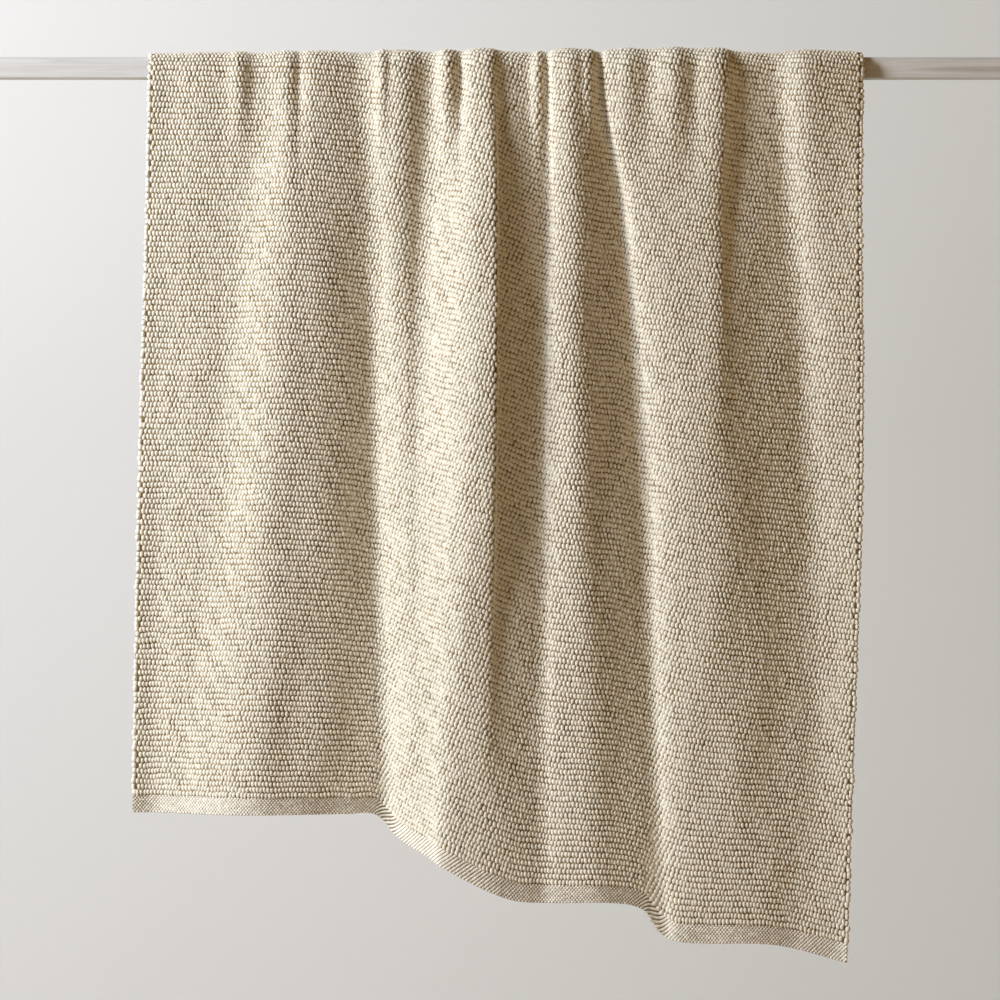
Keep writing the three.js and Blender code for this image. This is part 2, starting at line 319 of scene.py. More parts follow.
# %% Flat cloth to room
def cloth_place(u, v):
    col = np.clip(u / CLOTH_WIDTH, 0, 1) * (len(u_marks) - 1.001)
    row = np.clip(v / CLOTH_LENGTH, 0, 1) * (len(v_marks) - 1.001)
    i, j = col.astype(int), row.astype(int)
    a, b = (col - i)[..., None], (row - j)[..., None]
    left = (1 - b) * place_grid[i, j] + b * place_grid[i, j + 1]
    right = (1 - b) * place_grid[i + 1, j] + b * place_grid[i + 1, j + 1]
    return (1 - a) * left + a * right


def cloth_directions(u, v, step=MARK_STEP):
    """Across, up along and outwards from the cloth; the first two keep the cloth's local stretch."""
    left, right = np.maximum(u - step, 0), np.minimum(u + step, CLOTH_WIDTH)
    below, above = np.maximum(v - step, 0), np.minimum(v + step, CLOTH_LENGTH)
    across = (cloth_place(right, v) - cloth_place(left, v)) / (right - left)[..., None]
    along = (cloth_place(u, above) - cloth_place(u, below)) / (above - below)[..., None]
    outward = np.cross(across, along)
    return across, along, outward / np.linalg.norm(outward, axis=-1, keepdims=True)


hem_corners = cloth_place(np.array([0, CLOTH_WIDTH]), np.array([0, 0]))
print("front corners of the cloth:", hem_corners.round(3).tolist())

# %% [markdown]
# ## Yarn that looks like yarn
# Every yarn in the throw has the same soft fibres, so their flecks and fuzz are one node group that
# each yarn material uses with its own colour. It reads Object coordinates, which keep the fibres at their
# real size.

# %% Node group for fibres
def new_group(name, kind, sockets):
    tree = bpy.data.node_groups.new(name, kind)
    for label, in_out, socket_type, value in sockets:
        made = tree.interface.new_socket(label, in_out=in_out, socket_type=socket_type)
        if value is not None:
            made.default_value = value
    return tree, tree.nodes.new("NodeGroupInput"), tree.nodes.new("NodeGroupOutput")


def add(tree, kind, **settings):
    node = tree.nodes.new(kind)
    for name, value in settings.items():
        setattr(node, name, value)
    return node


fibres, fibres_in, fibres_out = new_group("soft_fibres", "ShaderNodeTree", [
    ("Colour", "INPUT", "NodeSocketColor", (0.7, 0.6, 0.5, 1)),
    ("Fleck", "INPUT", "NodeSocketFloat", 0.12),
    ("Fibres per metre", "INPUT", "NodeSocketFloat", 900.0),
    ("Colour", "OUTPUT", "NodeSocketColor", None),
    ("Fuzz", "OUTPUT", "NodeSocketFloat", None),
])
place = add(fibres, "ShaderNodeTexCoord")
fuzz = add(fibres, "ShaderNodeTexNoise")
fuzz.inputs["Detail"].default_value = 3
fleck = add(fibres, "ShaderNodeMapRange")
low = add(fibres, "ShaderNodeMath", operation="SUBTRACT")
low.inputs[0].default_value = 1
high = add(fibres, "ShaderNodeMath", operation="ADD")
high.inputs[0].default_value = 1
shade = add(fibres, "ShaderNodeVectorMath", operation="SCALE")
for a, b in [
    (place.outputs["Object"], fuzz.inputs["Vector"]),
    (fibres_in.outputs["Fibres per metre"], fuzz.inputs["Scale"]),
    (fibres_in.outputs["Fleck"], low.inputs[1]),
    (fibres_in.outputs["Fleck"], high.inputs[1]),
    (fuzz.outputs["Fac"], fleck.inputs["Value"]),
    (low.outputs[0], fleck.inputs["To Min"]),
    (high.outputs[0], fleck.inputs["To Max"]),
    (fibres_in.outputs["Colour"], shade.inputs["Vector"]),
    (fleck.outputs["Result"], shade.inputs["Scale"]),
    (shade.outputs["Vector"], fibres_out.inputs["Colour"]),
    (fuzz.outputs["Fac"], fibres_out.inputs["Fuzz"]),
]:
    fibres.links.new(a, b)
print("node group:", fibres.name)

# %% [markdown]
# ## The yarn's colour
# On the real throw the tops of the pebbles are pale cream, and the gaps between them sink to brown
# because little light gets in. Light bouncing in Blender makes part of that. The rest is painted shade: a
# colour ramp on an attribute called `height`, 0 at the foot of a pebble and 1 at its top, runs from a
# painted gap shade through a shaded tan to the yarn's own cream. A second attribute, `tone`, makes each
# pebble a little lighter or darker than the next. The fine hem has shallower gaps, so its painted shade
# starts paler. The ground has no `height`, so it takes the painted shade of the gaps all over.

# %% Yarn materials
def yarn_material(name, ramp, spread, fleck, sheen):
    material = bpy.data.materials.new(name)
    material.use_nodes = True
    tree = material.node_tree
    shader = tree.nodes["Principled BSDF"]
    shader.inputs["Roughness"].default_value = 0.92
    shader.inputs["Specular IOR Level"].default_value = 0.15
    shader.inputs["Sheen Weight"].default_value = sheen
    shader.inputs["Sheen Roughness"].default_value = 0.6
    height = add(tree, "ShaderNodeAttribute", attribute_name="height")
    # Painted shade: this ramp darkens each shape towards its foot.
    painted_shade_ramp = add(tree, "ShaderNodeValToRGB")
    stops = painted_shade_ramp.color_ramp.elements
    for stop, (at, colour) in zip((stops[0], stops[1]), ramp[:2]):
        stop.position = at
        stop.color = (*colour, 1)
    for at, colour in ramp[2:]:
        stops.new(at).color = (*colour, 1)
    tone = add(tree, "ShaderNodeAttribute", attribute_name="tone")
    vary = add(tree, "ShaderNodeMapRange")
    vary.inputs["To Min"].default_value = 1 - spread
    vary.inputs["To Max"].default_value = 1 + spread
    toned = add(tree, "ShaderNodeVectorMath", operation="SCALE")
    fibre = add(tree, "ShaderNodeGroup", node_tree=fibres)
    fibre.inputs["Fleck"].default_value = fleck
    bump = add(tree, "ShaderNodeBump")
    bump.inputs["Strength"].default_value = 0.5
    bump.inputs["Distance"].default_value = 0.6 * MM
    for a, b in [
        (height.outputs["Fac"], painted_shade_ramp.inputs["Fac"]),
        (tone.outputs["Fac"], vary.inputs["Value"]),
        (painted_shade_ramp.outputs["Color"], toned.inputs["Vector"]),
        (vary.outputs["Result"], toned.inputs["Scale"]),
        (toned.outputs["Vector"], fibre.inputs["Colour"]),
        (fibre.outputs["Colour"], shader.inputs["Base Color"]),
        (fibre.outputs["Fuzz"], bump.inputs["Height"]),
        (bump.outputs["Normal"], shader.inputs["Normal"]),
    ]:
        tree.links.new(a, b)
    return material


# Painted shade in the gaps and on the flanks; the cream is the yarn's own colour.
GAP_PAINTED_SHADE = (0.25, 0.18, 0.095)
SHADED_TAN = (0.60, 0.49, 0.33)
CREAM = (0.89, 0.83, 0.695)
HEM_PAINTED_SHADE = (0.62, 0.51, 0.36)
HEM_CREAM = (0.97, 0.915, 0.80)
pebble_ramp = [(0, GAP_PAINTED_SHADE), (0.36, SHADED_TAN), (0.58, CREAM)]
hem_ramp = [(0, HEM_PAINTED_SHADE), (0.5, HEM_CREAM)]
# The ground's ramp holds painted shade only.
ground_painted_shade = [(0, GAP_PAINTED_SHADE), (1, SHADED_TAN)]
pebble_yarn = yarn_material("pebble_yarn", pebble_ramp, spread=0.05, fleck=0.08, sheen=0.12)
hem_yarn = yarn_material("hem_yarn", hem_ramp, spread=0.12, fleck=0.12, sheen=0.1)
ground_yarn_painted_shade = yarn_material("ground_yarn_painted_shade", ground_painted_shade, spread=0.0, fleck=0.25, sheen=0.1)
print("yarns:", pebble_yarn.name, hem_yarn.name, ground_yarn_painted_shade.name)

# %% [markdown]
# ## The ground of the cloth
# Under the pebbles runs the ground weave that holds them. It is the sheet itself: a grid of faces on the
# fold surface, given a real thickness by a second layer and a rim, so that it is closed all round. Rows
# crowd together over the rod, where the cloth turns sharply, and stay wide apart on the long drops.

# %% Grid of the ground sheet
HEM_BAND = 25 * MM
SELVEDGE = 5 * MM
GROUND_THICKNESS = 2.0 * MM
GROUND_COLUMNS = 212
FRONT_ROWS = 60
BEND_ROWS = 22
BACK_ROWS = 25
BEND_REACH = 45 * MM

ground_u = np.linspace(0, CLOTH_WIDTH, GROUND_COLUMNS + 1)
at_top = MM * curve_through(ROW_AT_ROD[:, 0], ROW_AT_ROD[:, 1], ground_u / CLOTH_WIDTH)[:, None]
front_part = np.linspace(0, 1, FRONT_ROWS + 1)[:-1] * (at_top - BEND_REACH)
bend_part = at_top + np.linspace(-1, 1, BEND_ROWS + 1)[:-1] * BEND_REACH
back_part = at_top + BEND_REACH + np.linspace(0, 1, BACK_ROWS + 1) * (CLOTH_LENGTH - at_top - BEND_REACH)
ground_v = np.concatenate([front_part, bend_part, back_part], axis=1)
ground_u = np.broadcast_to(ground_u[:, None], ground_v.shape)
middle_layer = cloth_place(ground_u, ground_v)
_, _, off_cloth = cloth_directions(ground_u, ground_v)
print("ground grid:", ground_v.shape)

# %% Close the ground sheet
def new_piece(name, mesh):
    piece = bpy.data.objects.new(name, mesh)
    bpy.context.scene.collection.objects.link(piece)
    return piece


columns, rows = ground_v.shape
index = np.arange(columns * rows).reshape(columns, rows)
a, b, c, d = index[:-1, :-1], index[1:, :-1], index[1:, 1:], index[:-1, 1:]
outer = np.stack([a, b, c, d], axis=-1).reshape(-1, 4)
inner = outer[:, ::-1] + columns * rows
edge = np.concatenate([index[:-1, 0], index[-1, :-1], index[:0:-1, -1], index[0, :0:-1]])
ahead = np.roll(edge, -1)
rim = np.stack([ahead, edge, edge + columns * rows, ahead + columns * rows], axis=-1)
half = GROUND_THICKNESS / 2 * off_cloth
points = np.concatenate([(middle_layer + half).reshape(-1, 3), (middle_layer - half).reshape(-1, 3)])
ground_mesh = bpy.data.meshes.new("ground_cloth")
ground_mesh.from_pydata(points.tolist(), [], np.concatenate([outer, inner, rim]).tolist())
ground_mesh.shade_smooth()
# The ground sheet is coloured with the painted shade of the gaps between the pebbles.
ground_mesh.materials.append(ground_yarn_painted_shade)
ground_cloth = new_piece("ground_cloth", ground_mesh)
print("ground cloth:", len(ground_mesh.polygons), "faces")

# %% [markdown]
# ## One pebble
# A pebble is a short float of thick yarn that pops up between two threads. Tens of thousands of them
# show, so each one has very few faces: a six-sided foot that fits its neighbours like a tile, and a crown
# of four points. A plainer grain with a short ridge on the same foot does for the inside and the hems.
# Smooth shading rounds both off.

# %% Shape of a pebble
def small_shape(name, points, faces):
    mesh = bpy.data.meshes.new(name)
    mesh.from_pydata(points, [], faces)
    # height runs from 0 at the foot to 1 at the top, and the yarn ramps paint shade by it.
    height = mesh.attributes.new("height", "FLOAT", "POINT")
    tops = np.array([p[2] for p in points])
    height.data.foreach_set("value", (tops - tops.min()) / (tops.max() - tops.min()))
    return new_piece(name, mesh)


FOOT = [(0.5, 0.31, 0), (0, 0.62, 0), (-0.5, 0.31, 0), (-0.5, -0.31, 0), (0, -0.62, 0), (0.5, -0.31, 0)]
CROWN = [(0.33, 0, 0.86), (0, 0.31, 0.95), (-0.33, 0, 0.86), (0, -0.31, 1.0)]
PEBBLE_FACES = [
    (0, 1, 7), (0, 7, 6), (1, 2, 7), (2, 8, 7), (2, 3, 8), (3, 4, 9),
    (3, 9, 8), (4, 5, 9), (5, 6, 9), (5, 0, 6), (6, 7, 9), (7, 8, 9),
]
pebble_shape = small_shape("pebble_shape", FOOT + CROWN, PEBBLE_FACES)
RIDGE = [(0, 0.30, 1), (0, -0.30, 1)]
GRAIN_FACES = [(0, 1, 6), (1, 2, 6), (2, 3, 7), (2, 7, 6), (3, 4, 7), (4, 5, 7), (5, 0, 6), (5, 6, 7)]
grain_shape = small_shape("grain_shape", FOOT + RIDGE, GRAIN_FACES)
print("pebble:", len(PEBBLE_FACES), "faces, grain:", len(GRAIN_FACES), "faces")

# %% [markdown]
# ## Many pebbles with Geometry Nodes
# Placing each pebble by hand is hopeless, and a mesh of single points is quick to make. Each point
# carries three attributes: which way is out, which way is up the cloth, and how large its pebble is. The
# node tree puts a pebble on each point, turns it by the first two, makes it a little uneven with a fixed
# seed, and realizes the instances, because only real mesh is kept at export.

# %% Node tree that sets yarn shapes on points
setting, setting_in, setting_out = new_group("set_yarn_shapes", "GeometryNodeTree", [
    ("Points", "INPUT", "NodeSocketGeometry", None),
    ("Shape", "INPUT", "NodeSocketObject", None),
    ("Unevenness", "INPUT", "NodeSocketFloat", 0.1),
    ("Most turn", "INPUT", "NodeSocketFloat", 0.1),
    ("Seed", "INPUT", "NodeSocketInt", 1),
    ("Material", "INPUT", "NodeSocketMaterial", None),
    ("Mesh", "OUTPUT", "NodeSocketGeometry", None),
])


def named(tree, label):
    node = add(tree, "GeometryNodeInputNamedAttribute", data_type="FLOAT_VECTOR")
    node.inputs["Name"].default_value = label
    return node.outputs["Attribute"]


shape_info = add(setting, "GeometryNodeObjectInfo")
stand_out = add(setting, "FunctionNodeAlignRotationToVector", axis="Z")
stand_up = add(setting, "FunctionNodeAlignRotationToVector", axis="Y", pivot_axis="Z")
turn_back = add(setting, "ShaderNodeMath", operation="MULTIPLY")
turn_back.inputs[1].default_value = -1
turn = add(setting, "FunctionNodeRandomValue", data_type="FLOAT")
turn_about = add(setting, "FunctionNodeAxisAngleToRotation")
turned_shape = add(setting, "FunctionNodeRotateRotation", rotation_space="LOCAL")
least = add(setting, "ShaderNodeMath", operation="SUBTRACT")
least.inputs[0].default_value = 1
most = add(setting, "ShaderNodeMath", operation="ADD")
most.inputs[0].default_value = 1
grow = add(setting, "FunctionNodeRandomValue", data_type="FLOAT_VECTOR")
size = add(setting, "ShaderNodeVectorMath", operation="MULTIPLY")
setter = add(setting, "GeometryNodeInstanceOnPoints")
tone = add(setting, "FunctionNodeRandomValue", data_type="FLOAT")
keep_tone = add(setting, "GeometryNodeStoreNamedAttribute", data_type="FLOAT", domain="INSTANCE")
keep_tone.inputs["Name"].default_value = "tone"
real = add(setting, "GeometryNodeRealizeInstances")
smooth = add(setting, "GeometryNodeSetShadeSmooth")
dye = add(setting, "GeometryNodeSetMaterial")
for a, b in [
    (setting_in.outputs["Shape"], shape_info.inputs["Object"]),
    (named(setting, "facing"), stand_out.inputs["Vector"]),
    (stand_out.outputs["Rotation"], stand_up.inputs["Rotation"]),
    (named(setting, "up_cloth"), stand_up.inputs["Vector"]),
    (setting_in.outputs["Most turn"], turn_back.inputs[0]),
    (turn_back.outputs[0], turn.inputs[2]),
    (setting_in.outputs["Most turn"], turn.inputs[3]),
    (setting_in.outputs["Seed"], turn.inputs["Seed"]),
    (turn.outputs[1], turn_about.inputs["Angle"]),
    (stand_up.outputs["Rotation"], turned_shape.inputs["Rotation"]),
    (turn_about.outputs["Rotation"], turned_shape.inputs["Rotate By"]),
    (setting_in.outputs["Unevenness"], least.inputs[1]),
    (setting_in.outputs["Unevenness"], most.inputs[1]),
    (least.outputs[0], grow.inputs[0]),
    (most.outputs[0], grow.inputs[1]),
    (setting_in.outputs["Seed"], grow.inputs["Seed"]),
    (named(setting, "size"), size.inputs[0]),
    (grow.outputs[0], size.inputs[1]),
    (setting_in.outputs["Points"], setter.inputs["Points"]),
    (shape_info.outputs["Geometry"], setter.inputs["Instance"]),
    (turned_shape.outputs["Rotation"], setter.inputs["Rotation"]),
    (size.outputs["Vector"], setter.inputs["Scale"]),
    (setting_in.outputs["Seed"], tone.inputs["Seed"]),
    (setter.outputs["Instances"], keep_tone.inputs["Geometry"]),
    (tone.outputs[1], keep_tone.inputs["Value"]),
    (keep_tone.outputs["Geometry"], real.inputs["Geometry"]),
    (real.outputs["Geometry"], smooth.inputs["Geometry"]),
    (smooth.outputs["Geometry"], dye.inputs["Geometry"]),
    (setting_in.outputs["Material"], dye.inputs["Material"]),
    (dye.outputs["Geometry"], setting_out.inputs["Mesh"]),
]:
    setting.links.new(a, b)
print("node tree:", setting.name, "with", len(setting.nodes), "nodes")


# %% Points that carry their directions, and the pieces made from them
def yarn_piece(name, places, facing, up_cloth, sizes, shape, uneven, most_turn, seed, material):
    mesh = bpy.data.meshes.new(name)
    mesh.from_pydata(places.tolist(), [], [])
    for label, values in (("facing", facing), ("up_cloth", up_cloth), ("size", sizes)):
        attribute = mesh.attributes.new(label, "FLOAT_VECTOR", "POINT")
        attribute.data.foreach_set("vector", np.ascontiguousarray(values, dtype=np.float32).ravel())
    piece = new_piece(name, mesh)
    maker = piece.modifiers.new("set_yarn_shapes", "NODES")
    maker.node_group = setting
    values = {
        "Shape": shape,
        "Unevenness": uneven,
        "Most turn": most_turn,
        "Seed": seed,
        "Material": material,
    }
    for item in setting.interface.items_tree:
        if item.in_out == "INPUT" and item.name in values:
            maker[item.identifier] = values[item.name]
    graph = bpy.context.evaluated_depsgraph_get()
    made = bpy.data.meshes.new_from_object(
        piece.evaluated_get(graph), preserve_all_data_layers=True, depsgraph=graph)
    piece.modifiers.remove(maker)
    piece.data = made
    made.name = name
    bpy.data.meshes.remove(mesh)
    print(f"{name}: {len(places)} shapes, {len(made.polygons)} faces")
    return piece


# %% [markdown]
# ## Rows of pebbles
# The pebbles lie like bricks: each row is shifted by half a pebble against the one below. Their pitch is
# fitted to the cloth between the hems and the sides. Rows in a loose weave also wander: long shared waves
# bend them together, each row slips a little against the next, and seeded noise moves every pebble, so
# that nothing looks printed. Where the cloth is drawn together the pebbles shrink with it. They are made a
# little larger than their pitch, so that neighbours meet above their feet.

# %% Brick layout on the flat cloth
OUTSIDE = 1
INSIDE = -1
LEAN = 0.06
seeded = np.random.default_rng(11)


def brick_layout(u_from, u_to, v_from, v_to, pitch_u, pitch_v):
    in_row = round((u_to - u_from) / pitch_u)
    in_column = round((v_to - v_from) / pitch_v)
    pitch_u = (u_to - u_from) / in_row
    pitch_v = (v_to - v_from) / in_column
    row, column = np.mgrid[0:in_column, 0:in_row]
    u = u_from + (column + 0.25 + 0.5 * (row % 2)) * pitch_u
    v = v_from + (row + 0.5) * pitch_v
    return u, v, pitch_u, pitch_v


def on_cloth(u, v, side, lift, wide, long, high):
    """Places, directions and sizes of shapes that stand on one side of the cloth."""
    across, along, outward = cloth_directions(u, v)
    facing = side * outward + seeded.normal(0, LEAN, outward.shape)
    stretch_u = np.linalg.norm(across, axis=-1)
    stretch_v = np.linalg.norm(along, axis=-1)
    sizes = np.stack([wide * stretch_u, long * stretch_v, np.full_like(u, high)], axis=-1)
    return cloth_place(u, v) + lift * facing, facing, along / stretch_v[..., None], sizes


few_bricks = brick_layout(0, 2, 0, 2, 1, 1)
print("two rows of two bricks, from the left:", few_bricks[0].tolist())

# %% Places of the pebbles
PEBBLE_WIDTH = 5.45 * MM
PEBBLE_LENGTH = 7.8 * MM
SHARED_WAVES = 12
SHARED_PER_METRE = 24
SHARED_HEIGHT = 0.2 * MM
SLIP_WAVES = 3
SLIP_PER_METRE = (10, 30)
SLIP_HEIGHT = 0.3 * MM
NOISE_ACROSS = 0.2 * MM
NOISE_ALONG = 0.26 * MM
pebble_u, pebble_v, pitch_u, pitch_v = brick_layout(
    SELVEDGE, CLOTH_WIDTH - SELVEDGE, HEM_BAND, CLOTH_LENGTH - HEM_BAND, PEBBLE_WIDTH, PEBBLE_LENGTH)
for _ in range(SHARED_WAVES):
    waves_across = seeded.uniform(-SHARED_PER_METRE, SHARED_PER_METRE)
    waves_along = seeded.uniform(-SHARED_PER_METRE, SHARED_PER_METRE)
    phase = 2 * math.pi * (waves_across * pebble_u + waves_along * pebble_v + seeded.random())
    pebble_u = pebble_u + SHARED_HEIGHT * np.sin(phase)
    pebble_v = pebble_v + SHARED_HEIGHT * np.cos(phase)
one_per_row = (len(pebble_u), 1)
for _ in range(SLIP_WAVES):
    waves_in_row = seeded.uniform(*SLIP_PER_METRE, one_per_row)
    phase = 2 * math.pi * (waves_in_row * pebble_u + seeded.random(one_per_row))
    pebble_u = pebble_u + SLIP_HEIGHT * np.sin(phase)
pebble_u = pebble_u + seeded.normal(0, NOISE_ACROSS, pebble_u.shape)
pebble_u = np.clip(pebble_u, SELVEDGE, CLOTH_WIDTH - SELVEDGE)
pebble_v = pebble_v + seeded.normal(0, NOISE_ALONG, pebble_v.shape)
print("pebbles:", pebble_u.shape, f"pitch {pitch_u / MM:.2f} by {pitch_v / MM:.2f} mm")

# %% Pebbles on the outside, in bands
BANDS = 4
PEBBLE_RELIEF = 2.6 * MM
PEBBLE_UNEVEN = 0.12
PEBBLE_TURN = 0.22
OVERLAP_ACROSS = 1.12
OVERLAP_ALONG = 1.15
FOOT_SUNK = 0.3 * MM
FOOT_LIFT = GROUND_THICKNESS / 2 - FOOT_SUNK
pebble_size = (OVERLAP_ACROSS * pitch_u, OVERLAP_ALONG * pitch_v, PEBBLE_RELIEF)
pebble_bands = []
for k, rows_of_band in enumerate(np.array_split(np.arange(len(pebble_u)), BANDS)):
    name = f"pebbles_{k + 1}"
    u = pebble_u[rows_of_band].ravel()
    v = pebble_v[rows_of_band].ravel()
    laid = on_cloth(u, v, OUTSIDE, FOOT_LIFT, *pebble_size)
    band = yarn_piece(name, *laid, pebble_shape, PEBBLE_UNEVEN, PEBBLE_TURN, 20 + k, pebble_yarn)
    pebble_bands.append(band)

# %% [markdown]
# ## The inside, where it shows
# The front hangs lower than the back, so from behind the inside of the front shows below the back hem.
# From the sides it also shows along both edges. It has the same weave. Elsewhere the two layers hide each
# other, and the ground cloth is enough there.

# %% Pebbles on the inside
SHOWS_ABOVE_BACK_HEM = 60 * MM
SHOWS_FROM_THE_SIDES = 70 * MM
back_hem_z = cloth_place(pebble_u, np.full_like(pebble_u, CLOTH_LENGTH))[..., 2]
room = cloth_place(pebble_u, pebble_v)
shows = (room[..., 1] < 0) & (room[..., 2] < back_hem_z + SHOWS_ABOVE_BACK_HEM)
near_a_side = np.minimum(pebble_u, CLOTH_WIDTH - pebble_u) < SHOWS_FROM_THE_SIDES
shows |= near_a_side & (room[..., 2] < -2 * ROD_RADIUS)
laid = on_cloth(pebble_u[shows], pebble_v[shows], INSIDE, FOOT_LIFT, *pebble_size)
pebbles_inside = yarn_piece(
    "pebbles_inside", *laid, grain_shape, PEBBLE_UNEVEN, PEBBLE_TURN, 31, pebble_yarn)

# %% [markdown]
# ## Hems and sides
# The hems are woven with a thinner yarn in a tight flat weave. They have the same brick layout, but the
# grains are nearly twice as wide as high and stand up little. Down the sides the thick yarn turns round
# in loops, which bulge past the edge.

# %% Fine weave of the hems
HEM_PITCH = 5.0 * MM
HEM_ROW = 0.56 * HEM_PITCH
HEM_RELIEF = 1.5 * MM
HEM_ACROSS = 0.98
HEM_ALONG = 1.2
HEM_UNEVEN = 0.1
HEM_TURN = 0.1
hem_bands = []
for label, v_from in (("front", 0), ("back", CLOTH_LENGTH - HEM_BAND)):
    u, v, hem_u, hem_v = brick_layout(0, CLOTH_WIDTH, v_from, v_from + HEM_BAND, HEM_PITCH, HEM_ROW)
    hem_size = (HEM_ACROSS * hem_u, HEM_ALONG * hem_v, HEM_RELIEF)
    for side_name, side in (("outside", OUTSIDE), ("inside", INSIDE)):
        name = f"{label}_hem_{side_name}"
        laid = on_cloth(u.ravel(), v.ravel(), side, FOOT_LIFT, *hem_size)
        hem_bands.append(yarn_piece(name, *laid, grain_shape, HEM_UNEVEN, HEM_TURN, 41 + side, hem_yarn))

# %% Shape of a loop
def loop_shape():
    """A plump oval of six by four facets."""
    around = 6
    rings = (-0.55, 0.0, 0.55)
    points = [(0, -0.5, 0)]
    for ring in rings:
        radius = 0.5 * math.sqrt(1 - ring ** 2)
        angles = [2 * math.pi * k / around for k in range(around)]
        points += [(radius * math.cos(t), 0.5 * ring, radius * math.sin(t)) for t in angles]
    points.append((0, 0.5, 0))
    last = len(points) - 1
    faces = [(0, 1 + k, 1 + (k + 1) % around) for k in range(around)]
    for ring in range(len(rings) - 1):
        low = 1 + ring * around
        for k in range(around):
            ahead = (k + 1) % around
            faces.append((low + k, low + around + k, low + around + ahead, low + ahead))
    low = 1 + (len(rings) - 1) * around
    faces += [(low + k, last, low + (k + 1) % around) for k in range(around)]
    return small_shape("loop_shape", points, faces)


side_loop = loop_shape()
print("loop:", len(side_loop.data.polygons), "faces")

# %% Loops down the sides
LOOP_PITCH = 7.8 * MM
LOOP_SIZE = (7.2 * MM, 1.22 * LOOP_PITCH, 5.4 * MM)
LOOP_FROM_EDGE = 1.7 * MM
LOOP_NOISE_ACROSS = 0.7 * MM
LOOP_NOISE_ALONG = 0.9 * MM
LOOP_UNEVEN = 0.18
LOOP_TURN = 0.3
loop_v = np.arange(HEM_BAND, CLOTH_LENGTH - HEM_BAND, LOOP_PITCH) + LOOP_PITCH / 2
side_loops = []
for label, u_at in (("left", LOOP_FROM_EDGE), ("right", CLOTH_WIDTH - LOOP_FROM_EDGE)):
    name = f"{label}_side_loops"
    u = np.full_like(loop_v, u_at) + seeded.normal(0, LOOP_NOISE_ACROSS, loop_v.shape)
    v = loop_v + seeded.normal(0, LOOP_NOISE_ALONG, loop_v.shape)
    laid = on_cloth(u, v, OUTSIDE, 0, *LOOP_SIZE)
    side_loops.append(yarn_piece(name, *laid, side_loop, LOOP_UNEVEN, LOOP_TURN, 51, pebble_yarn))
for shape in (pebble_shape, grain_shape, side_loop):
    bpy.data.objects.remove(shape)

# %% [markdown]
# ## The rod
# The rod is pale wood under a thin white wash, so the grain shows only faintly, with a knot here and
# there. Wood grain runs along a rod, so a noise texture is stretched along X, and the cells of a Voronoi
# texture, stretched in the same way, leave a few long dark spots for the knots.

# %% Wood material
GRAIN_STRETCH = (7, 170, 170)
WASHED_GRAIN = (0.63, 0.60, 0.565, 1)
WHITE_WASH = (0.75, 0.735, 0.71, 1)
KNOT_BROWN = (0.33, 0.25, 0.17, 1)
washed_wood = bpy.data.materials.new("washed_wood")
washed_wood.use_nodes = True
tree = washed_wood.node_tree
shader = tree.nodes["Principled BSDF"]
shader.inputs["Roughness"].default_value = 0.62
shader.inputs["Specular IOR Level"].default_value = 0.3
place = add(tree, "ShaderNodeTexCoord")
stretch = add(tree, "ShaderNodeMapping")
stretch.inputs["Scale"].default_value = GRAIN_STRETCH
grain = add(tree, "ShaderNodeTexNoise")
grain.inputs["Scale"].default_value = 1
grain.inputs["Detail"].default_value = 6
grain.inputs["Distortion"].default_value = 0.6
wash = add(tree, "ShaderNodeValToRGB")
wash.color_ramp.elements[0].position = 0.30
wash.color_ramp.elements[0].color = WASHED_GRAIN
wash.color_ramp.elements[1].position = 0.62
wash.color_ramp.elements[1].color = WHITE_WASH
knots = add(tree, "ShaderNodeTexVoronoi")
knots.inputs["Scale"].default_value = 0.22
knot_mask = add(tree, "ShaderNodeMapRange")
knot_mask.inputs["From Min"].default_value = 0.10
knot_mask.inputs["From Max"].default_value = 0.22
knot_mask.inputs["To Min"].default_value = 0.42
knot_mask.inputs["To Max"].default_value = 0.0
knotted = add(tree, "ShaderNodeMix", data_type="RGBA")
knotted.inputs["B"].default_value = KNOT_BROWN
bump = add(tree, "ShaderNodeBump")
bump.inputs["Strength"].default_value = 0.25
bump.inputs["Distance"].default_value = 0.4 * MM
for a, b in [
    (place.outputs["Object"], stretch.inputs["Vector"]),
    (stretch.outputs["Vector"], grain.inputs["Vector"]),
    (grain.outputs["Fac"], wash.inputs["Fac"]),
    (stretch.outputs["Vector"], knots.inputs["Vector"]),
    (knots.outputs["Distance"], knot_mask.inputs["Value"]),
    (knot_mask.outputs["Result"], knotted.inputs["Factor"]),
    (wash.outputs["Color"], knotted.inputs["A"]),
    (knotted.outputs["Result"], shader.inputs["Base Color"]),
    (grain.outputs["Fac"], bump.inputs["Height"]),
    (bump.outputs["Normal"], shader.inputs["Normal"]),
]:
    tree.links.new(a, b)
print("wood:", washed_wood.name)

# %% [markdown]
# ## The rod's shape
# The sides of the rod are flat, and its top is crowned where the cloth lies. A modeller could extrude and
# bevel a cube. Here the outline is drawn point by point, half of it and its mirror image, and carried
# along X through rings that draw in at both ends. Points close beside each edge keep smooth shading to
# the edges, so that the sides stay flat.

